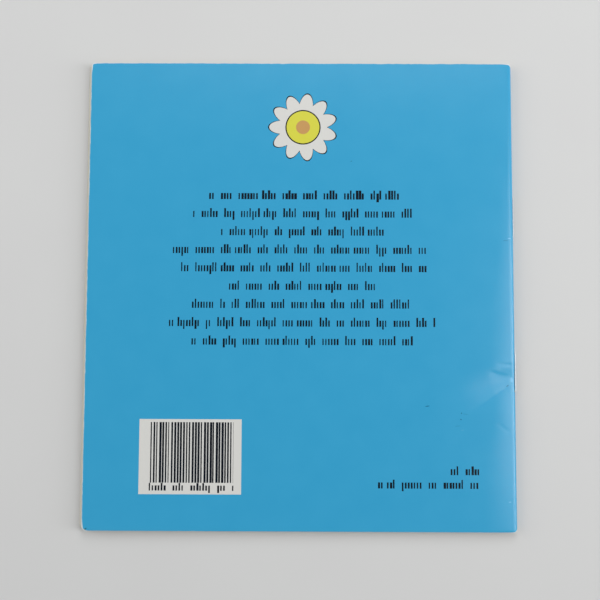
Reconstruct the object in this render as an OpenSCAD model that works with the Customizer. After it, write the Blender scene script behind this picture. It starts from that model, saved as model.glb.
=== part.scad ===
// Paperback picture book: one section of folded sheets, wire-stitched through
// the fold into a soft card cover and trimmed on three sides. It lies face
// down with its back cover up: +X is the fold, +Y the head, +Z up. The origin
// is under the middle of the book, on the surface that it lies on.

/* [Trim] */
// Width of the trimmed book, from the front cover's fore edge to the fold
trim_w = 140.2; // [100:0.1:220]
// Height of the trimmed book, from the tail to the head
trim_h = 152.4; // [100:0.1:300]
// How far the fore edge leans back between the front cover and the back cover
fore_slip = 1.35; // [0:0.05:2]
// Corner radius where the fore edge meets the head
head_corner_r = 1.0; // [0.3:0.1:6]
// Corner radius where the fore edge meets the tail, worn rounder
tail_corner_r = 1.5; // [0.3:0.1:6]
// Corner radius at both ends of the fold
fold_corner_r = 0.9; // [0.2:0.1:3]

/* [Cover] */
// Thickness of the cover card
cover_t = 0.28; // [0.2:0.01:0.5]
// Air between the cover and the outermost sheet
cover_clearance = 0.055; // [0.03:0.005:0.2]
// Gap along the ridge of the fold, where the front cover turns
ridge_gap = 0.05; // [0.02:0.01:0.1]
// Gap along the score beside the fold, where the back cover turns
score_gap = 0.02; // [0.01:0.01:0.1]

/* [Pages] */
// Number of sheets folded into the section, two leaves to a sheet
sheet_count = 6; // [4:1:16]
// Thickness of one leaf
leaf_t = 0.13; // [0.08:0.01:0.25]
// Air between neighbouring leaves, once they have spread
leaf_gap = 0.07; // [0.04:0.01:0.2]
// Distance from the fold, where the sheets are pressed solid, to where the leaves have spread
spread_run = 12; // [6:1:30]

/* [Stitching] */
// Diameter of the round stitching wire
wire_d = 0.5; // [0.35:0.05:0.7]
// How deep the wire is pressed into the card of the fold
wire_sink = 0.15; // [0.05:0.01:0.18]
// Outside length of a staple's back
crown_len = 13; // [10:0.5:18]
// Length of a clinched leg, measured from the staple's end
clinch_len = 5; // [3:0.5:6]
// Inside radius of the wire's bends
bend_r = 0.3; // [0.1:0.05:0.4]
// Distance between the middles of the two staples
stitch_pitch = 50.8; // [30:0.1:80]
// Room round the wire where it passes through card and paper
wire_clearance = 0.03; // [0.02:0.01:0.06]
// Room round the clinched ends in the middle opening
clinch_clearance = 0.08; // [0.07:0.01:0.15]

/* [Hidden] */
$fn = 64;

// The wire: its crown lies along the ridge, its legs go in along -X
wire_r = wire_d / 2;
crown_proud = wire_d - wire_sink;
bend_axis_r = bend_r + wire_r;
leg_y = crown_len / 2 - wire_r;

// The fold in section: sheets bend round the clinched wire, pressed together, with the cover outside
opening_r = wire_r + clinch_clearance;
section_fold_r = opening_r + sheet_count * leaf_t;
section_flat_r = leaf_gap / 2 + sheet_count * (leaf_t + leaf_gap) - leaf_gap;
cover_in_r = max(section_fold_r, section_flat_r) + cover_clearance;
cover_out_r = cover_in_r + cover_t;
book_t = 2 * cover_out_r;
mid_z = cover_out_r;

// Across the book, centred on the origin with the wire included
fold_x = (trim_w - crown_proud) / 2;
fore_x = fold_x - trim_w;
score_x = fold_x - cover_out_r;
crown_x = fold_x + wire_r - wire_sink;
clinch_x = score_x - wire_r;

// A corner of the fold is never rounder than the fold is deep
fold_plan_r = min(fold_corner_r, cover_in_r);
// Spare length on tools that cut past an edge
cut_room = 1;
// Layers run out past the fore edge, where the trim cuts them
layer_run = trim_w - cover_out_r + cut_room;
// How far the trimmed fore edge leans from upright
fore_lean = atan(fore_slip / book_t);

cover_blue = "#45a4d0";
page_cream = "#f1ede0";
wire_grey = "#b4b7ba";

// Section of all that lies within a fold, with the fold's axis at the origin: its leaves
// spread from the fold's radius to another half thickness
module within_fold(fold_r, flat_r, run) {
  circle(fold_r);
  polygon([
    [0, fold_r], [-spread_run, flat_r], [-run, flat_r],
    [-run, -flat_r], [-spread_run, -flat_r], [0, -fold_r]
  ]);
}

// The part of a section above a height, from x = from to x = to
module above(height, from, to) {
  intersection() {
    children();
    translate([from, height]) square([to - from, cover_out_r + cut_room]);
  }
}

// Section of the cover above the ridge of the fold
module cover_above(from, to) {
  above(ridge_gap / 2, from, to)
    difference() {
      within_fold(cover_out_r, cover_out_r, layer_run);
      within_fold(cover_in_r, cover_in_r, layer_run + cut_room);
    }
}

// Section of the air over a leaf, counted outward from the middle opening
module air_over(leaf) {
  pressed = opening_r + leaf * leaf_t;
  lower = leaf_gap / 2 + leaf * leaf_t + (leaf - 1) * leaf_gap;
  upper = lower + leaf_gap;
  run = layer_run + cut_room;
  polygon([[0, pressed], [-spread_run, upper], [-run, upper], [-run, lower], [-spread_run, lower]]);
}

// Section of the stitched sheets
module sheets() {
  difference() {
    within_fold(section_fold_r, section_flat_r, layer_run);
    within_fold(opening_r, leaf_gap / 2, layer_run + cut_room);
    for (leaf = [1 : sheet_count - 1], side = [0, 1])
      mirror([0, side]) air_over(leaf);
  }
}

// What a cut takes off one corner, with its point at the origin and the sheet at +X +Y
module corner_waste(r) {
  difference() {
    translate([-cut_room, -cut_room]) square(r + cut_room);
    translate([r, r]) circle(r);
  }
}

// What trimming takes off along the leaning fore edge, with its corners
module fore_waste() {
  reach = 4 * cut_room + fore_slip;
  translate([fore_x, 0, 0])
    rotate([0, fore_lean, 0])
      translate([0, 0, -cut_room])
        linear_extrude(book_t + 4 * cut_room) {
          translate([-reach, -trim_h / 2 - cut_room]) square([reach, trim_h + 2 * cut_room]);
          translate([0, -trim_h / 2]) corner_waste(tail_corner_r);
          translate([0, trim_h / 2]) mirror([0, 1]) corner_waste(head_corner_r);
        }
}

// A section run along the fold from tail to head, then trimmed
module trimmed() {
  difference() {
    translate([score_x, 0, mid_z])
      rotate([90, 0, 0])
        linear_extrude(trim_h, center = true) children();
    fore_waste();
    for (side = [0, 1])
      mirror([0, side, 0])
        translate([fold_x, -trim_h / 2, -cut_room])
          mirror([1, 0, 0])
            linear_extrude(book_t + 2 * cut_room) corner_waste(fold_plan_r);
  }
}

// One staple of round wire, centred on y = 0: crown, two legs, and ends clinched inward
module staple_wire(room = 0) {
  r = wire_r + room;
  bend_y = leg_y - bend_axis_r;
  leg_run = crown_x - clinch_x - 2 * bend_axis_r;
  translate([crown_x, -bend_y, mid_z]) rotate([-90, 0, 0]) cylinder(h = 2 * bend_y, r = r);
  for (side = [0, 1])
    mirror([0, side, 0]) {
      translate([crown_x - bend_axis_r, bend_y, mid_z])
        rotate_extrude(angle = 90) translate([bend_axis_r, 0]) circle(r);
      translate([crown_x - bend_axis_r, leg_y, mid_z])
        rotate([0, -90, 0]) cylinder(h = leg_run, r = r);
      translate([clinch_x + bend_axis_r, bend_y, mid_z])
        rotate([0, 0, 90]) rotate_extrude(angle = 90) translate([bend_axis_r, 0]) circle(r);
      translate([clinch_x, bend_y, mid_z])
        rotate([90, 0, 0]) cylinder(h = clinch_len - wire_r - bend_axis_r + room, r = r);
    }
}

// Something repeated at both staples
module at_stitches() {
  for (side = [-1, 1])
    translate([0, side * stitch_pitch / 2, 0]) children();
}

// The holes that one staple's legs make through the sheets
module leg_holes() {
  for (side = [-1, 1])
    translate([score_x, side * leg_y, mid_z])
      rotate([0, 90, 0]) cylinder(h = cover_out_r, r = wire_r + wire_clearance);
}

// The front cover, underneath: a flat panel and the lower half of the fold
module front_cover() {
  color(cover_blue)
    difference() {
      trimmed() mirror([0, 1]) cover_above(-layer_run, cover_out_r + cut_room);
      at_stitches() staple_wire(wire_clearance);
    }
}

// The section: folded sheets nested in one another, pressed into one along the stitched fold
module pages() {
  color(page_cream)
    difference() {
      trimmed() sheets();
      at_stitches() leg_holes();
    }
}

// The upper half of the cover's fold, held to the section by the staples
module spine_fold() {
  color(cover_blue)
    difference() {
      trimmed() cover_above(0, cover_out_r + cut_room);
      at_stitches() staple_wire(wire_clearance);
    }
}

// The back cover, on top: a flat panel that opens at the score
module back_cover() {
  color(cover_blue)
    trimmed() cover_above(-layer_run, -score_gap);
}

module head_staple() {
  color(wire_grey) translate([0, stitch_pitch / 2, 0]) staple_wire();
}

module tail_staple() {
  color(wire_grey) translate([0, -stitch_pitch / 2, 0]) staple_wire();
}

front_cover();
pages();
spine_fold();
back_cover();
head_staple();
tail_staple();
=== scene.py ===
# %% [markdown]
# # A thin paperback, lying face down
#
# This lesson dresses a stitched paperback: a dozen leaves in a soft card cover, lying on its front with
# the back cover up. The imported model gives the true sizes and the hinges. Blender adds what makes the
# book look handled: a cover that has settled over its fold, leaves that show at the fore edge, print,
# varnish and wear. Everything is worked out in millimetres, as paper is measured, and turned to metres
# when a mesh is made.

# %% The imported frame
import math

import bpy
import numpy as np
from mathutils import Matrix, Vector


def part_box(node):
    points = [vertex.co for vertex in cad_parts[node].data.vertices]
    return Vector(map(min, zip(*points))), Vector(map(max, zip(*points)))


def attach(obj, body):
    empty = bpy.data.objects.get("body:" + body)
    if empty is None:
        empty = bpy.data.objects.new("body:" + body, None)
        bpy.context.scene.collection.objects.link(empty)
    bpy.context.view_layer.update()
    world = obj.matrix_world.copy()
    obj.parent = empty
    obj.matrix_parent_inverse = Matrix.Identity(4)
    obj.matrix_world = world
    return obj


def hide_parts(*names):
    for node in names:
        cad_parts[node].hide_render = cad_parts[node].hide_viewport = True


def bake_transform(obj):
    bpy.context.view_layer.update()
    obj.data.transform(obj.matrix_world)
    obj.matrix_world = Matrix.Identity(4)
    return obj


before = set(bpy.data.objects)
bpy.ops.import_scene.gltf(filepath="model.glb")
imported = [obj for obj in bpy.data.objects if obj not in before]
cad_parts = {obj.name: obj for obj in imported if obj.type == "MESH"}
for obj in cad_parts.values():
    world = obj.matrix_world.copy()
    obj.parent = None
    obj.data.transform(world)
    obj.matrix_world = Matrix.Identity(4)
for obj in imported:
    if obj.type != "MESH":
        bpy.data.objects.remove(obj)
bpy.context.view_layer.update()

MM = 0.001


# %% Sizes read from the frame
def box_mm(node):
    """The lowest and the highest corner of a CAD node, in millimetres."""
    low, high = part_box(node)
    return np.array(low) / MM, np.array(high) / MM


front_low = box_mm("front_cover")[0]
spine_low, spine_high = box_mm("spine_fold")
back_low, back_high = box_mm("back_cover")
pages_low, pages_high = box_mm("pages")

book_t = back_high[2]
card_t = book_t - back_low[2]
mid_z = book_t / 2
half_h = back_high[1]
fold_x = spine_high[0]
score_x = spine_low[0]
fore_x = front_low[0]
panel_run = score_x - fore_x
fore_slip = (back_low[0] - fore_x) * book_t / (book_t - card_t)
print(f"book {fold_x - fore_x:.1f} x {2 * half_h:.1f} x {book_t:.2f} mm, card {card_t:.2f} mm")

# %% [markdown]
# ## The camera
#
# The picture was taken from almost straight above, from a little below the middle of the cover, so the
# two sides of the cover draw together towards the head. The lens and the place were worked out from the
# cover's four edges. Setting the camera first means that every later step can be judged in the same
# frame.

# %% A camera over the cover
lens_mm = 54
sensor_mm = 36
camera_tilt = (4.54, 0.21, 0.23)
camera_from_panel = np.array([1.0, -25.45, 290.8])

panel_middle = np.array([(fore_x + fore_slip + fold_x) / 2, 0, book_t])
camera_data = bpy.data.cameras.new("photo_camera")
camera_data.lens = lens_mm
camera_data.sensor_width = sensor_mm
camera_data.clip_start = 10 * MM
camera = bpy.data.objects.new("photo_camera", camera_data)
camera.location = (panel_middle + camera_from_panel) * MM
camera.rotation_euler = [math.radians(angle) for angle in camera_tilt]
bpy.context.scene.collection.objects.link(camera)
bpy.context.scene.camera = camera
print("camera at", [round(value / MM, 1) for value in camera.location], "mm")

# %% [markdown]
# ## How the book lies
#
# A stitched book is never quite flat. Its fold has been pressed, so a strip beside the fold slopes down
# to it, wider towards the tail. Handling leaves shallow waves and dents, and the knife has turned the
# tail edge down. Glossy card shows slopes of a degree or two, so these are modelled in the mesh and not
# left to a bump map. One height field does it: each layer sinks in proportion to its height over the
# table, so no layer can cross the one below.


# %% The pressed strip, the waves and the dents
def smooth(t):
    """An ease from 0 to 1, as a sheet bends when it leaves a crease."""
    t = np.clip(t, 0, 1)
    return t * t * (3 - 2 * t)


# The strip beside the fold, from tail to head: y, how wide it is, how far it drops at the fold
STRIP = np.array([
    (-76, 10.8, 0.42), (-57, 10.8, 0.47), (-49, 9.8, 0.45), (-44, 7.6, 0.36), (-40, 7.2, 0.35),
    (-34, 7.2, 0.35), (-31, 8.0, 0.38), (-28, 9.2, 0.40), (-25, 8.8, 0.36), (-21, 8.4, 0.33),
    (-10, 8.2, 0.28), (-2, 7.6, 0.25), (4, 6.5, 0.23), (12, 5.4, 0.19), (19, 4.8, 0.16),
    (34, 4.8, 0.14), (76, 4.8, 0.11),
])
strip_bend = 1.9
# Waves at most four times this deep; their lengths are in millimetres per radian
wave_drop = 0.02
wave_across, wave_up, wave_askew = 23, 29, 60
wave_start = 0.6
# Middle x, middle y, half width, half height, depth
DENTS = (
    (13.0, -45.0, 5.0, 9.0, 0.05),
    (21.9, 69.3, 0.9, 0.7, 0.04),
    (fold_x - 3.6, 42.5, 1.6, 2.4, 0.05),
    (fold_x - 0.6, -28.1, 0.8, 1.2, 0.16),
)
# The knife has turned the tail edge down: how far, and over what width
turned_down = 0.09
turned_w = 0.32


def beside_fold(y, values):
    """A value of the strip at a height, eased over a few millimetres."""
    return sum(np.interp(y + shift, STRIP[:, 0], values) for shift in (-1.5, -0.5, 0.5, 1.5)) / 4


def strip_drop(x, y):
    """How far the pressed strip lies below the rest of the book, in millimetres."""
    share = np.clip(1 - (fold_x - x) / beside_fold(y, STRIP[:, 1]), 0, None)
    return beside_fold(y, STRIP[:, 2]) * share**strip_bend


def handling_drop(x, y):
    """How far waves, the knife and dents take the book below its full thickness, in millimetres."""
    across = np.sin(x / wave_across + wave_start)
    upward = np.sin(y / wave_up + x / wave_askew)
    waves = wave_drop * (2 + across + upward)
    tail_edge = turned_down * np.exp(-(((y + half_h) / turned_w) ** 2))
    return waves + tail_edge + sum(
        depth * np.exp(-(((x - mid_x) / half_w) ** 2) - ((y - mid_y) / half_up) ** 2)
        for mid_x, mid_y, half_w, half_up, depth in DENTS
    )


print(f"the pressed strip is {STRIP[:, 1].min():.1f} to {STRIP[:, 1].max():.1f} mm wide")

# %% [markdown]
# ## The pucker at the tail staple
#
# The lower staple has pulled a fan of card down: it slopes to the wire from as far as a finger's width
# away. Above, the fan fades into the cover. Below, it ends on a crease that runs down and inward. The fan
# is a cone round one point on the fold, and below the crease the card is a cylinder, level from there to
# the fold: card bends, but it can't stretch. Smaller creases are short grooves. All this could be
# sculpted by hand, but a formula can be measured and moved.

# %% The pulled fan and the creases
pull_y = -27.6
pull_depth = 0.52
pull_reach = 20.0
pull_run = 17.0
# The fan's upper border: how far above the pull it meets the fold, how steeply it runs down inward, over
# what width it fades, and how much more for each millimetre further out
fan_above, fan_slope = 3.4, 0.3
fan_fade, fan_fade_growth = 6.0, 0.15
# The crease below it: how far below the pull it meets the fold, and how steeply it runs down inward
crease_below, crease_slope = 0.35, 0.70
# Start inward and up, end inward and up, depth, half width of the lower side; the upper side is steep
CREASES = (
    (7.4, -25.4, 5.9, -25.8, 0.045, 1.8),
    (4.6, -26.2, 3.4, -26.5, 0.03, 1.6),
    (4.6, -22.8, 1.4, -23.0, 0.05, 0.6),
    (5.2, -31.5, 3.4, -30.3, 0.03, 1.4),
    (5.2, -42.3, 2.8, -44.2, 0.03, 0.6),
)
crease_half_w = 0.4
crease_fade = 1.2


def pulled_drop(x, y):
    """How far the staple has pulled the card down, in millimetres."""
    inward, down = fold_x - x, pull_y - y
    away = np.hypot(inward, down)
    crease_in = np.clip((down - crease_below) / crease_slope, 0, None)
    far = np.where(crease_in > 0, np.maximum(away, np.hypot(crease_in, down)), away)
    past_top = down + fan_above - fan_slope * inward
    below_top = smooth(0.5 + past_top / (fan_fade + fan_fade_growth * away))
    return pull_depth * below_top * smooth((pull_reach - far) / pull_run)


def crease_drop(x, y):
    """How deep the creases are, in millimetres."""
    drop = np.zeros_like(x + y)
    for from_in, from_up, to_in, to_up, depth, lower_half_w in CREASES:
        run_in, run_up = to_in - from_in, to_up - from_up
        past_in, past_up = fold_x - x - from_in, y - from_up
        share = np.clip((past_in * run_in + past_up * run_up) / (run_in**2 + run_up**2), 0, 1)
        off_in, off_up = past_in - share * run_in, past_up - share * run_up
        half_w = np.where(off_up > 0, crease_half_w, lower_half_w)
        drop += depth * np.exp(-((off_in / crease_fade) ** 2) - (off_up / half_w) ** 2)
    return drop


def settled(x, y):
    """How far the whole book lies below its full thickness, in millimetres."""
    return strip_drop(x, y) + pulled_drop(x, y) + crease_drop(x, y) + handling_drop(x, y)


probe = 0.5
cover_drop = settled(np.arange(fore_x, fold_x, probe)[:, None], np.arange(-half_h, half_h, probe)[None, :])
print(f"the back cover lies {cover_drop.min():.3f} to {cover_drop.max():.3f} mm below full thickness")

# %% [markdown]
# ## A sheet as a closed mesh
#
# Card and paper have two faces and a cut edge, so a sheet is two grids of points joined round their rim.
# That is a clean closed mesh, it can be printed in 3D, and each face can have its own finish. Each point
# also keeps where it lies on the flat sheet, in millimetres, and how far it is from the nearest cut. The
# materials use those two attributes, so print and wear stay on the sheet when it bends.

# %% Trimmed ends and graded grids
head_corner_r = 1.0
tail_corner_r = 1.5
# Handling has worn the ends of the fold a little rounder than they were cut
fold_corner_r = 1.1


def corner_loss(distance, r):
    """What a corner of radius r takes off the height, at a distance from the side."""
    short = np.clip(r - distance, 0, r)
    return r - np.sqrt(r**2 - short**2)


def trim_ends(x, z):
    """The y of the tail and of the head, for points across the book."""
    from_fore = x - fore_x - fore_slip * z / book_t
    at_fold = corner_loss(fold_x - x, fold_corner_r)
    tail = -half_h + np.maximum(corner_loss(from_fore, tail_corner_r), at_fold)
    head = half_h - np.maximum(corner_loss(from_fore, head_corner_r), at_fold)
    return tail, head


def graded(stops, steps):
    """Positions from the first stop to the last, with about its own step in each stretch."""
    stretches = [
        np.linspace(low, high, max(1, round((high - low) / step)), endpoint=False)
        for low, high, step in zip(stops, stops[1:], steps)
    ]
    return np.append(np.concatenate(stretches), stops[-1])


print(f"corner radii {head_corner_r}, {tail_corner_r} and {fold_corner_r} mm at head, tail and fold")

# %% One side of a folded sheet
# From the fold, where the sheets are pressed together, to where the leaves have spread
spread_run = 12.0
# How much deeper the edge is rubbed at a corner, and how far that reaches, at the tail and at the head
FORE_RUBS = ((0.4, 1.6), (0.35, 1.8))
FOLD_RUBS = ((0.3, 1.6), (0.35, 2.2))
# The tail cut is drawn less rubbed than the others
tail_spare = 0.15


def layer(along, up, bend_r, fold_r, flat_r):
    """One side of a folded sheet: its points, their places on the flat sheet and their distances to a cut.

    along is measured on the sheet from the ridge of the fold, towards the back cover. The side lies at
    fold_r from the fold's axis, and at flat_r from the middle plane once the leaves have spread.
    """
    turn = np.clip(along / bend_r, -math.pi / 2, math.pi / 2)
    past = np.abs(along - turn * bend_r)
    r = fold_r + (flat_r - fold_r) * smooth(past / spread_run)
    z = mid_z + r * np.sin(turn)
    reach = past * (score_x - fore_x - fore_slip * z / book_t) / panel_run
    x = score_x + r * np.cos(turn) - reach
    tail, head = trim_ends(x, z)
    y = tail[:, None] + (head - tail)[:, None] * (up + half_h) / (2 * half_h)
    whole = np.zeros_like(y)
    x, z = x[:, None] + whole, z[:, None] + whole
    points = np.stack([x, y, z * (1 - settled(x, y) / book_t)], axis=-1)
    flat_x = score_x + bend_r * (math.pi / 2 - turn) - np.sign(along) * reach
    flat = np.stack([flat_x[:, None] + whole, y, whole], axis=-1)
    to_tail = y - tail[:, None]
    to_head = head[:, None] - y
    to_fore = (panel_run - past)[:, None] + whole
    to_cut = np.minimum(np.minimum(to_tail + tail_spare, to_head), to_fore)
    for rubs, to_side in ((FORE_RUBS, to_fore), (FOLD_RUBS, fold_x - x)):
        for (rub, far), to_end in zip(rubs, (to_tail, to_head)):
            to_cut = to_cut - rub * np.exp(-(to_side**2 + to_end**2) / far**2)
    return points, flat, to_cut


# %% Sheets to a mesh
SHARP_EDGE = math.radians(35)


def sheet_object(name, sheets):
    """One object of closed sheets, each given as its outside and its inside layer."""
    faces, finish, first = [], [], 0
    for outside, _ in sheets:
        shape = outside[2].shape
        count = math.prod(shape)
        number = first + np.arange(count).reshape(shape)
        corners = [number[:-1, :-1], number[:-1, 1:], number[1:, 1:], number[1:, :-1]]
        near = np.stack(corners, axis=-1).reshape(-1, 4)
        ring = np.concatenate([number[:, 0], number[-1, 1:], number[-2::-1, -1], number[0, -2:0:-1]])
        after = np.roll(ring, -1)
        rim = np.stack([ring, after, after + count, ring + count], axis=-1)
        faces += [near, near[:, ::-1] + count, rim]
        finish += [np.repeat([0, 1, 2], [len(near), len(near), len(rim)])]
        first += 2 * count
    layers = [side for pair in sheets for side in pair]
    points, flat = (np.concatenate([side[i].reshape(-1, 3) for side in layers]) for i in (0, 1))
    to_cut = np.concatenate([side[2].ravel() for side in layers])
    mesh = bpy.data.meshes.new(name)
    mesh.from_pydata((points * MM).tolist(), [], np.concatenate(faces).tolist())
    mesh.attributes.new("sheet_mm", "FLOAT_VECTOR", "POINT").data.foreach_set("vector", flat.ravel())
    mesh.attributes.new("to_cut_mm", "FLOAT", "POINT").data.foreach_set("value", to_cut.ravel())
    mesh.polygons.foreach_set("material_index", np.concatenate(finish))
    mesh.shade_smooth()
    mesh.set_sharp_from_angle(angle=SHARP_EDGE)
    piece = bpy.data.objects.new(name, mesh)
    bpy.context.scene.collection.objects.link(piece)
    print(name, len(mesh.polygons), "faces")
    return piece


# %% [markdown]
# ## The cover
#
# The real cover is one sheet of card, scored and folded once round the pages. It opens in two places, so
# here it is two meshes that meet on the upper half of the fold, where neither moves against the other:
# the front sheet goes from its fore edge round the ridge, and the back sheet from there over the score to
# its own fore edge.

# %% The front sheet and the back sheet
fold_out_r = book_t / 2
fold_in_r = fold_out_r - card_t
card_bend_r = (fold_out_r + fold_in_r) / 2
quarter = card_bend_r * math.pi / 2
# How far past the ridge of the fold the two sheets meet
join_at = 0.6

# Rows and columns are close at the cuts, the fold and the pucker
rows = graded([-half_h, -half_h + 3, -47, -20, half_h - 1.6, half_h], [0.2, 1.2, 0.3, 1.4, 0.2])
panel = graded([0, 11, 22, panel_run - 2, panel_run], [0.3, 0.6, 1.8, 0.2])
front_along = np.concatenate([-quarter - panel[:0:-1], graded([-quarter, join_at], [0.14])])
back_along = np.concatenate([graded([join_at, quarter], [0.14])[:-1], quarter + panel])


def card(along):
    """The two sides of the cover card, printed side first."""
    return [layer(along, rows, card_bend_r, r, r) for r in (fold_out_r, fold_in_r)]


front_sheet = sheet_object("front_cover_sheet", [card(front_along)])
back_sheet = sheet_object("back_cover_sheet", [card(back_along)])

# %% [markdown]
# ## The leaves
#
# Six sheets are nested and folded once, which gives twelve leaves. At the fold they are pressed together
# round the clinched wire, and from there they spread. The edges at the left lean, because the book was
# trimmed square and then shifted as it was laid down, so each leaf shows a little beyond the one over it.
# Separate sheets cost few faces and give the fine lines of a real fore edge, which a striped block would
# not when the book opens.

# %% Six nested sheets
sheet_count = 6
leaf_t = 0.13
opening_r = 0.33
leaf_pitch = (pages_high[2] - pages_low[2] - leaf_t) / (2 * sheet_count - 1)
leaf_gap = leaf_pitch - leaf_t

leaf_rows = graded([-half_h, -half_h + 1.6, -38, -20, half_h - 1.6, half_h], [0.4, 6, 0.9, 6, 0.4])
leaf_panel = graded([0, spread_run, 20, panel_run - 1.6, panel_run], [0.7, 1.6, 6, 0.4])


def folded_leaf(sheet):
    """The two sides of one folded sheet, counted from the middle opening."""
    pressed = opening_r + sheet * leaf_t
    spread = leaf_gap / 2 + sheet * leaf_pitch
    bend_r = pressed + leaf_t / 2
    bend = graded([-bend_r * math.pi / 2, bend_r * math.pi / 2], [0.2])
    along = np.concatenate([bend[0] - leaf_panel[:0:-1], bend, bend[-1] + leaf_panel[1:]])
    return [layer(along, leaf_rows, bend_r, pressed + t, spread + t) for t in (leaf_t, 0.0)]


leaves = sheet_object("page_leaves", [folded_leaf(sheet) for sheet in range(sheet_count)])

# %% [markdown]
# ## Colours and nodes
#
# Colours are written as hex codes, as they would be picked from a swatch, and turned to the linear values
# that the shaders work with. One function adds a node, sets it and links it, so a material reads as a
# list of steps.


# %% Two helpers for materials
def linear(code):
    """An sRGB hex colour as linear red, green, blue and alpha."""
    parts = [int(code[i:i + 2], 16) / 255 for i in (1, 3, 5)]
    return tuple(c / 12.92 if c <= 0.04045 else ((c + 0.055) / 1.055) ** 2.4 for c in parts) + (1.0,)


def add_node(tree, kind, inputs, out=0, **settings):
    """Adds a node. An input is a number, a colour or another node's output. Returns one of its outputs."""
    node = tree.nodes.new("ShaderNode" + kind)
    for setting, value in settings.items():
        setattr(node, setting, value)
    for socket, value in inputs.items():
        if isinstance(value, bpy.types.NodeSocket):
            tree.links.new(value, node.inputs[socket])
        else:
            node.inputs[socket].default_value = value
    return node.outputs[out] if node.outputs else node


def new_material(name):
    """A material with an empty node tree."""
    material = bpy.data.materials.new(name)
    material.use_nodes = True
    material.node_tree.nodes.clear()
    return material, material.node_tree


print("half grey, #808080, is", round(linear("#808080")[0], 3), "in linear light")

# %% [markdown]
# ## Shapes for the print
#
# The cover's print is flat colour and simple shapes, so it can be drawn by the shader at any sharpness.
# Each shape is a mask that is 1 inside and 0 outside, measured in millimetres on the flat sheet.


# %% Boxes and rounds
def inside_box(tree, place, middle, half):
    """A mask for an upright box."""
    away = add_node(tree, "VectorMath", {0: place, 1: (*middle, 0.0)}, operation="SUBTRACT")
    share = add_node(tree, "VectorMath", {0: away, 1: (*half, 1.0)}, operation="DIVIDE")
    size = add_node(tree, "VectorMath", {0: share}, operation="ABSOLUTE")
    across = add_node(tree, "SeparateXYZ", {0: size})
    larger = add_node(tree, "Math", {0: across, 1: across.node.outputs[1]}, operation="MAXIMUM")
    return add_node(tree, "Math", {0: larger, 1: 1.0}, operation="LESS_THAN")


def inside_round(tree, place, middle, radii, turn=0.0):
    """A mask for a circle or a turned ellipse."""
    away = add_node(tree, "VectorMath", {0: place, 1: (*middle, 0.0)}, operation="SUBTRACT")
    turned = add_node(tree, "VectorRotate", {0: away, "Angle": math.radians(-turn)}, rotation_type="Z_AXIS")
    share = add_node(tree, "VectorMath", {0: turned, 1: (*radii, 1.0)}, operation="DIVIDE")
    reach = add_node(tree, "VectorMath", {0: share}, out="Value", operation="LENGTH")
    return add_node(tree, "Math", {0: reach, 1: 1.0}, operation="LESS_THAN")


# %% [markdown]
# ## Lines that stand for type
#
# A blurb is a block of centred lines. Here it is rows of small upright strokes in groups, with the
# height, spacing and weight of such type but no letters. White noise on the number of each stroke decides
# how wide it is and whether it reaches up or down. Two groups share a run of strokes, and noise on the
# number of the run sets where the gap between them falls, so the rows look set and not ruled.

# %% Rows of upright strokes
RUN_STROKES = 14
GAP_STROKES = 2


def number_and_rest(tree, value):
    """The whole part and the fraction of a value."""
    return [add_node(tree, "Math", {0: value}, operation=kind) for kind in ("FLOOR", "FRACT")]


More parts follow.
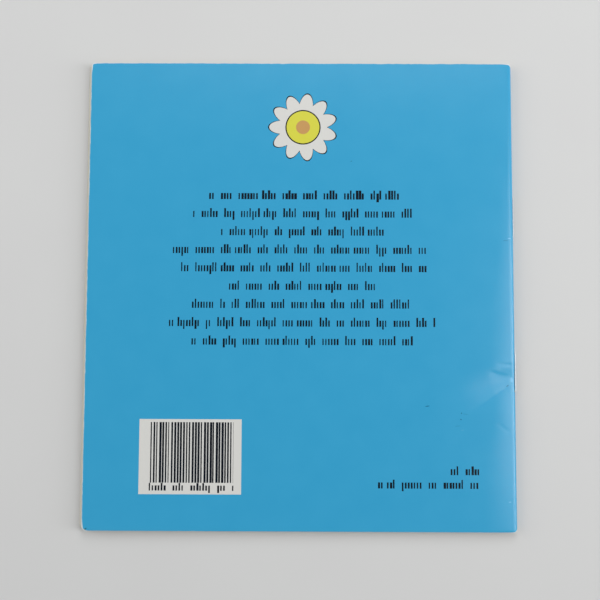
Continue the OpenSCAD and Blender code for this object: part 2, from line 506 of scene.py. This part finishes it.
def stroke_rows(tree, place, middle_x, top_y, row_count, pitch, half_width, advance, weight):
    """A mask for centred rows of strokes. top_y is the first row's top; half_width is least and most."""
    x = add_node(tree, "SeparateXYZ", {0: place})
    y = x.node.outputs[1]
    row_at = add_node(tree, "MapRange", {0: y, 1: top_y, 2: top_y - pitch, 3: 0.0, 4: 1.0}, clamp=False)
    row, down = number_and_rest(tree, row_at)
    strokes = {0: x, 1: middle_x, 2: middle_x + advance, 3: 0.0, 4: 1.0}
    spot_at = add_node(tree, "MapRange", strokes, clamp=False)
    spot, across = number_and_rest(tree, spot_at)
    key = add_node(tree, "CombineXYZ", {0: spot, 1: row, 2: top_y})
    chance = add_node(tree, "SeparateColor", {0: add_node(tree, "TexWhiteNoise", {0: key}, out="Color")})
    width = add_node(tree, "MapRange", {0: chance, 3: 0.7 * weight, 4: 1.3 * weight})
    taller = add_node(tree, "Math", {0: chance.node.outputs[1], 1: 0.8}, operation="GREATER_THAN")
    deeper = add_node(tree, "Math", {0: chance.node.outputs[1], 1: 0.07}, operation="LESS_THAN")
    top = add_node(tree, "Math", {0: taller, 1: -0.16, 2: 0.22}, operation="MULTIPLY_ADD")
    bottom = add_node(tree, "Math", {0: deeper, 1: 0.15, 2: 0.56}, operation="MULTIPLY_ADD")

    # Each row shifts its runs, so that gaps don't stand over each other
    shifted = add_node(tree, "Math", {0: row, 1: 5.0, 2: spot}, operation="MULTIPLY_ADD")
    run_at = add_node(tree, "Math", {0: shifted, 1: RUN_STROKES}, operation="DIVIDE")
    run, run_part = number_and_rest(tree, run_at)
    run_key = add_node(tree, "CombineXYZ", {0: run, 1: row, 2: top_y})
    run_chance = add_node(tree, "TexWhiteNoise", {0: run_key})
    gap_at = add_node(tree, "MapRange", {0: run_chance, 3: 0.25, 4: 0.62})
    past_gap = add_node(tree, "Math", {0: run_part, 1: gap_at}, operation="SUBTRACT")
    from_gap = add_node(tree, "Math", {0: past_gap}, operation="ABSOLUTE")
    half_gap = GAP_STROKES / 2 / RUN_STROKES

    row_chance = add_node(tree, "TexWhiteNoise", {"W": row}, noise_dimensions="1D")
    least, most = half_width
    half = add_node(tree, "MapRange", {0: row_chance, 3: least / advance, 4: most / advance})
    past_middle = add_node(tree, "Math", {0: spot, 1: 0.5}, operation="ADD")
    off_middle = add_node(tree, "Math", {0: past_middle}, operation="ABSOLUTE")
    block_y = top_y - row_count * pitch / 2
    mask = inside_box(tree, place, (middle_x, block_y), (most + advance, row_count * pitch / 2))
    for low, high in (
        (top, down),
        (down, bottom),
        (across, width),
        (half_gap, from_gap),
        (run_part, 1 - 2 * half_gap),
        (off_middle, half),
    ):
        within = add_node(tree, "Math", {0: low, 1: high}, operation="LESS_THAN")
        mask = add_node(tree, "Math", {0: mask, 1: within}, operation="MULTIPLY")
    return mask


# %% [markdown]
# ## Bars and a flower
#
# A stock code on a cover is a white panel of bars. The bars here have random widths and stand for
# nothing. The ornament over the blurb is a plain daisy: its edge is a circle whose radius swings with the
# angle. They could be flat meshes laid on the card, but ink has no thickness to see, so the shader draws
# them.


# %% Random bars and a round flower
def upright_bars(tree, place, middle, half, bar_pitch):
    """A mask for a row of bars with random widths."""
    x = add_node(tree, "SeparateXYZ", {0: place})
    bar_at = add_node(tree, "MapRange", {0: x, 1: 0.0, 2: bar_pitch, 3: 0.0, 4: 1.0}, clamp=False)
    number, across = number_and_rest(tree, bar_at)
    noise = add_node(tree, "TexWhiteNoise", {"W": number}, out="Color", noise_dimensions="1D")
    chance = add_node(tree, "SeparateColor", {0: noise})
    left = add_node(tree, "MapRange", {0: chance, 3: 0.0, 4: 0.15})
    width = add_node(tree, "MapRange", {0: chance.node.outputs[1], 3: 0.32, 4: 0.85})
    right = add_node(tree, "Math", {0: left, 1: width}, operation="ADD")
    mask = inside_box(tree, place, middle, half)
    for low, high in ((left, across), (across, right)):
        within = add_node(tree, "Math", {0: low, 1: high}, operation="LESS_THAN")
        mask = add_node(tree, "Math", {0: mask, 1: within}, operation="MULTIPLY")
    return mask


def flower_reach(tree, place, middle, petals, petal_r, swing):
    """How far a place is from a flower's middle, where 1 is the tip line of its petals."""
    away = add_node(tree, "VectorMath", {0: place, 1: (*middle, 0.0)}, operation="SUBTRACT")
    x = add_node(tree, "SeparateXYZ", {0: away})
    angle = add_node(tree, "Math", {0: x.node.outputs[1], 1: x}, operation="ARCTAN2")
    turns = add_node(tree, "Math", {0: angle, 1: petals / 2}, operation="MULTIPLY")
    sway = add_node(tree, "Math", {0: turns}, operation="SINE")
    wave = add_node(tree, "Math", {0: sway}, operation="ABSOLUTE")
    edge = add_node(tree, "Math", {0: wave, 1: swing, 2: petal_r - swing}, operation="MULTIPLY_ADD")
    distance = add_node(tree, "VectorMath", {0: away}, out="Value", operation="LENGTH")
    return add_node(tree, "Math", {0: distance, 1: edge}, operation="DIVIDE")


# %% [markdown]
# ## Offset-printed, varnished card
#
# The cover is white coated card, printed by offset in one even blue and sealed with a thin press varnish.
# The eye gets a clean colour with a faint mottle, a soft wide gloss that finds every slope, and white
# card wherever the ink has rubbed off an edge. Varnish has an IOR near 1.5 and a roughness of 0.2 to 0.3.

# %% Places of the print
blue_deep, blue_light = "#35a0ce", "#3ba5d2"
ink, panel_white, disc_yellow, heart_tan = "#07121e", "#dadad6", "#d8d64a", "#c79a5e"
print_x = 1.2
daisy = (1.1, 54.7)
daisy_r, daisy_disc_r, daisy_heart_r = 11.5, 5.4, 2.3
petal_count = 11
petal_swing = 3.4
outline_w = 0.4
code_middle, code_half = (-34.6, -52.75), (16.4, 11.9)
bars_middle, bars_half = (-34.4, -51.4), (13.6, 9.6)
# Middle x, top y, number of rows, row pitch, least and most half width, stroke pitch, inked share of it
TYPE_ROWS = (
    (bars_middle[0], -60.8, 1, 4.8, (14, 14), 0.95, 0.6),
    (print_x, 34.0, 1, 5.95, (30, 34), 0.96, 0.70),
    (print_x, 28.05, 8, 5.95, (24, 45), 0.92, 0.56),
    (53.4, -55.1, 1, 5.6, (5, 5), 0.95, 0.66),
    (41.6, -59.4, 1, 5.6, (16, 16), 0.95, 0.66),
)


def cover_print(tree, place, ground):
    """The ground colour with the print laid over it, one shape after the other."""
    petals = flower_reach(tree, place, daisy, petal_count, daisy_r, petal_swing)
    in_outline = 1 - outline_w / daisy_r
    shapes = [
        (add_node(tree, "Math", {0: petals, 1: 1.0}, operation="LESS_THAN"), ink),
        (add_node(tree, "Math", {0: petals, 1: in_outline}, operation="LESS_THAN"), panel_white),
        (inside_round(tree, place, daisy, [daisy_disc_r + outline_w] * 2), ink),
        (inside_round(tree, place, daisy, [daisy_disc_r] * 2), disc_yellow),
        (inside_round(tree, place, daisy, [daisy_heart_r] * 2), heart_tan),
        (inside_box(tree, place, code_middle, code_half), panel_white),
        (upright_bars(tree, place, bars_middle, bars_half, bar_pitch=0.95), ink),
    ]
    shapes += [(stroke_rows(tree, place, *row), ink) for row in TYPE_ROWS]
    for mask, colour in shapes:
        ground = add_node(tree, "Mix", {0: mask, 6: ground, 7: linear(colour)}, out=2, data_type="RGBA")
    print(len(shapes), "printed shapes")
    return ground


# %% Small marks: scuffs, specks, painted shade and painted highlights by the fold
# Middle x and y, half length, half width, turn in degrees, colour
MARKS_AND_PAINTED_LIGHT = (
    (41.4, -36.4, 0.7, 0.16, 8, "#1a6f98"),
    (52.3, -38.6, 0.2, 0.2, 0, "#1d6d93"),
    (52.1, -40.6, 0.22, 0.2, 0, "#1d6d93"),
    (53.6, -38.9, 0.8, 0.1, -6, "#2c90bb"),
    (51.1, -42.7, 0.9, 0.1, 4, "#2c90bb"),
    (52.6, -44.0, 0.45, 0.12, 10, "#52abd2"),
    (17.0, 43.4, 0.3, 0.14, 20, "#2b7fa6"),
    # Painted shade: a dark stroke along the crease below the tail staple
    (fold_x - 2.6, -29.8, 0.5, 0.12, 35, "#12648c"),
    # Painted highlight: the glint at the pinch by the tail staple
    (fold_x - 1.25, -27.9, 0.3, 0.8, 0, "#58b6e2"),
    # Painted shade and a painted highlight: the two sides of a small wrinkle by the fold
    (fold_x - 2.7, 17.3, 0.8, 0.15, 0, "#2d8cb8"),
    (fold_x - 1.5, 18.0, 0.5, 0.22, 0, "#66bae4"),
    # Painted reflection: a faint light streak by the fold near the tail
    (fold_x - 2.4, -66.7, 0.45, 0.16, 8, "#66bae0"),
    # A greenish dark dash at the tail corner of the fore edge
    (fore_x + fore_slip + 1.25, 0.55 - half_h, 0.5, 0.2, 40, "#1f6a72"),
)


def cover_marks_and_painted_light(tree, place, ground):
    """The ground colour with small marks: scuffs and specks, painted shade and painted highlights by the
    fold, and a dark dash.
    """
    for x, y, half_long, half_wide, turn, colour in MARKS_AND_PAINTED_LIGHT:
        mask = inside_round(tree, place, (x, y), (half_long, half_wide), turn)
        ground = add_node(tree, "Mix", {0: mask, 6: ground, 7: linear(colour)}, out=2, data_type="RGBA")
    print(len(MARKS_AND_PAINTED_LIGHT), "small marks")
    return ground


# %% Varnished card
mottle_mm = 9.0
grain_mm = 0.9
rub_mm = 2.5

printed, tree = new_material("Varnished offset-printed card")
place = add_node(tree, "Attribute", {}, out="Vector", attribute_name="sheet_mm")
to_cut = add_node(tree, "Attribute", {}, out="Fac", attribute_name="to_cut_mm")
mottle = add_node(tree, "TexNoise", {"Vector": place, "Scale": 1 / mottle_mm, "Detail": 2.0})
blues = {0: mottle, 6: linear(blue_deep), 7: linear(blue_light)}
ground = add_node(tree, "Mix", blues, out=2, data_type="RGBA")
colour = cover_marks_and_painted_light(tree, place, cover_print(tree, place, ground))
# Rubbed edges: bare white card in a soft line about a tenth of a millimetre wide
rub = add_node(tree, "TexNoise", {"Vector": place, "Scale": 1 / rub_mm, "Detail": 3.0})
rubbed_w = add_node(tree, "MapRange", {0: rub, 1: 0.3, 2: 0.75, 3: 0.02, 4: 0.17})
past_rub = add_node(tree, "Math", {0: to_cut, 1: rubbed_w}, operation="SUBTRACT")
rubbed = add_node(tree, "MapRange", {0: past_rub, 1: -0.06, 2: 0.06, 3: 0.9, 4: 0.0})
colour = add_node(tree, "Mix", {0: rubbed, 6: colour, 7: linear("#e2e6e4")}, out=2, data_type="RGBA")
gloss = add_node(tree, "MapRange", {0: mottle, 3: 0.21, 4: 0.26})
grain = add_node(tree, "TexNoise", {"Vector": place, "Scale": 1 / grain_mm, "Detail": 2.0})
surface = add_node(tree, "Bump", {"Height": grain, "Distance": 0.004 * MM})
shader = add_node(
    tree,
    "BsdfPrincipled",
    {"Base Color": colour, "Roughness": gloss, "IOR": 1.5, "Normal": surface},
)
add_node(tree, "OutputMaterial", {"Surface": shader})
print(printed.name, len(tree.nodes), "nodes")

# %% [markdown]
# ## White card and cream paper
#
# The inside of the cover and its cut edge are bare board, and the leaves are uncoated paper with a cream
# tint. Both are felted fibre: matt, with a faint cloudiness when looked at closely, and a little darker
# at the edges where hands and air reach them. One function makes both, because only the colours and the
# fibre size differ. The cut paper edge is also drawn darker than the leaves' faces: painted shade of the
# gaps between the leaves.


# %% Uncoated stock
def uncoated_stock(name, pale, shade, fibre_mm, edge_mm):
    """Matt felted fibre, with its shade in the cloudy patches and along the cut edges."""
    material, tree = new_material(name)
    place = add_node(tree, "Attribute", {}, out="Vector", attribute_name="sheet_mm")
    to_cut = add_node(tree, "Attribute", {}, out="Fac", attribute_name="to_cut_mm")
    clouds = add_node(tree, "TexNoise", {"Vector": place, "Scale": 1 / (12 * fibre_mm), "Detail": 6.0})
    fibre = add_node(tree, "TexNoise", {"Vector": place, "Scale": 1 / fibre_mm, "Detail": 3.0})
    toned = add_node(tree, "MapRange", {0: to_cut, 1: 0.0, 2: edge_mm, 3: 0.8, 4: 0.0})
    amount = add_node(tree, "Math", {0: clouds, 1: 0.6, 2: toned}, operation="MULTIPLY_ADD", use_clamp=True)
    colour = add_node(tree, "Mix", {0: amount, 6: linear(pale), 7: linear(shade)}, out=2, data_type="RGBA")
    roughness = add_node(tree, "MapRange", {0: fibre, 3: 0.75, 4: 0.95})
    surface = add_node(tree, "Bump", {"Height": fibre, "Distance": 0.006 * MM})
    shader = add_node(
        tree,
        "BsdfPrincipled",
        {"Base Color": colour, "Roughness": roughness, "IOR": 1.45, "Normal": surface},
    )
    add_node(tree, "OutputMaterial", {"Surface": shader})
    print(material.name, len(tree.nodes), "nodes")
    return material


# A paper fibre is about 0.02 mm wide, so the fibre is drawn as felted tufts of half a millimetre
bare_card = uncoated_stock("Uncoated white board", "#eceae2", "#dcd8cb", fibre_mm=0.5, edge_mm=3.0)
cut_card = uncoated_stock("Cut board edge", "#e4e1d6", "#cfcabb", fibre_mm=0.3, edge_mm=0.1)
page_paper = uncoated_stock("Uncoated cream paper", "#f0eee4", "#e6e2d4", fibre_mm=0.6, edge_mm=4.0)
# Painted shade: the cut paper edge is darker than the faces, for the gaps between the leaves
cut_paper_gap_shaded = uncoated_stock("Cut paper edge with painted gap shade", "#dfded6", "#d0cec4", fibre_mm=0.3, edge_mm=0.1)
for piece, finishes in (
    (front_sheet, (printed, bare_card, cut_card)),
    (back_sheet, (printed, bare_card, cut_card)),
    (leaves, (page_paper, page_paper, cut_paper_gap_shaded)),
):
    for material in finishes:
        piece.data.materials.append(material)

# %% [markdown]
# ## Galvanised stitching wire
#
# The staples are drawn steel wire with a zinc coat: a grey metal with fine die lines along the wire and
# small dull patches of oxide. The metal keeps the default IOR, and the lines are drawn coarser than a
# real die mark, which is a few microns wide, so that they show.

# %% Zinc on drawn wire
die_line_mm = 0.08
oxide_mm = 0.8

wire, tree = new_material("Galvanised drawn wire")
spot = add_node(tree, "TexCoord", {}, out="Object")
lined = add_node(tree, "Mapping", {0: spot, "Scale": (1.0, 0.05, 1.0)})
lines = add_node(tree, "TexNoise", {"Vector": lined, "Scale": 1 / (die_line_mm * MM), "Detail": 2.0})
oxide = add_node(tree, "TexNoise", {"Vector": spot, "Scale": 1 / (oxide_mm * MM), "Detail": 4.0})
greys = {0: oxide, 6: linear("#cfd1d3"), 7: linear("#a9acaf")}
colour = add_node(tree, "Mix", greys, out=2, data_type="RGBA")
dullness = add_node(tree, "MapRange", {0: oxide, 1: 0.35, 2: 0.65, 3: 0.34, 4: 0.55})
surface = add_node(tree, "Bump", {"Height": lines, "Distance": 0.006 * MM})
shader = add_node(
    tree,
    "BsdfPrincipled",
    {"Base Color": colour, "Metallic": 1.0, "Roughness": dullness, "Normal": surface},
)
add_node(tree, "OutputMaterial", {"Surface": shader})
for staple in ("head_staple", "tail_staple"):
    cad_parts[staple].data.materials.clear()
    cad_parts[staple].data.materials.append(wire)
print(wire.name, len(tree.nodes), "nodes")

# %% [markdown]
# ## Floor and light
#
# The book lies on a plain pale table under soft light from behind the head and from the side of the fold,
# where it draws a bright line along the rounded card. Two large lamps give that. A low one on the right
# widens the shadow beside the fore edge, and one on the left keeps a soft shadow along the fold. A grey
# sky fills the rest: it is dark overhead, so that varnish doesn't veil the ink. The levels add up to
# about one, so a colour renders as written.

# %% A pale table
table_half = 1500
floor_mesh = bpy.data.meshes.new("table")
corners = [(x * table_half * MM, y * table_half * MM, 0.0) for x, y in ((-1, -1), (1, -1), (1, 1), (-1, 1))]
floor_mesh.from_pydata(corners, [], [(0, 1, 2, 3)])
floor = bpy.data.objects.new("table", floor_mesh)
bpy.context.scene.collection.objects.link(floor)

matt, tree = new_material("Matt painted table")
spot = add_node(tree, "TexCoord", {}, out="Object")
clouds = add_node(tree, "TexNoise", {"Vector": spot, "Scale": 1 / (40 * MM), "Detail": 3.0})
paints = {0: clouds, 6: linear("#d5d6d5"), 7: linear("#d2d2d2")}
colour = add_node(tree, "Mix", paints, out=2, data_type="RGBA")
shader = add_node(tree, "BsdfPrincipled", {"Base Color": colour, "Roughness": 0.8})
add_node(tree, "OutputMaterial", {"Surface": shader})
floor_mesh.materials.append(matt)
print("table", 2 * table_half, "mm square")


# %% Soft lamps and a sky that is dark overhead
def soft_lamp(name, place, width, height, watts):
    """A rectangular lamp that faces the book."""
    data = bpy.data.lights.new(name, "AREA")
    data.shape = "RECTANGLE"
    data.size = width * MM
    data.size_y = height * MM
    data.energy = watts
    lamp = bpy.data.objects.new(name, data)
    lamp.location = np.array(place) * MM
    lamp.rotation_euler = lamp.location.to_track_quat("Z", "Y").to_euler()
    bpy.context.scene.collection.objects.link(lamp)
    print(name, watts, "W")


soft_lamp("window_lamp", (40, 480, 490), 440, 440, 1.5)
soft_lamp("side_lamp", (470, 0, 571), 360, 450, 1.9)
soft_lamp("low_lamp", (1000, -60, 360), 400, 400, 3.0)
soft_lamp("left_lamp", (-600, 80, 350), 400, 400, 1.45)

sky_level, overhead_level = 0.33, 0.06
overhead_from, overhead_to = math.cos(math.radians(32)), math.cos(math.radians(12))
sky = bpy.data.worlds.new("studio_sky")
sky.use_nodes = True
tree = sky.node_tree
tree.nodes.clear()
direction = add_node(tree, "TexCoord", {}, out="Generated")
height = add_node(tree, "SeparateXYZ", {0: direction}, out=2)
level = add_node(
    tree,
    "MapRange",
    {0: height, 1: overhead_from, 2: overhead_to, 3: sky_level, 4: overhead_level},
    interpolation_type="SMOOTHSTEP",
)
glow = add_node(tree, "Background", {"Color": linear("#ffffff"), "Strength": level})
add_node(tree, "OutputWorld", {"Surface": glow})
bpy.context.scene.world = sky
bpy.context.scene.view_settings.view_transform = "Standard"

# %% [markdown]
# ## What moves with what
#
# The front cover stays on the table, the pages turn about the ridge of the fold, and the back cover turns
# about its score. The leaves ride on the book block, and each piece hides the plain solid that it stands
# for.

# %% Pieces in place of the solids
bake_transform(front_sheet)
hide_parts("front_cover")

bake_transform(back_sheet)
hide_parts("back_cover", "spine_fold")

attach(leaves, "book_block")
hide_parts("pages")
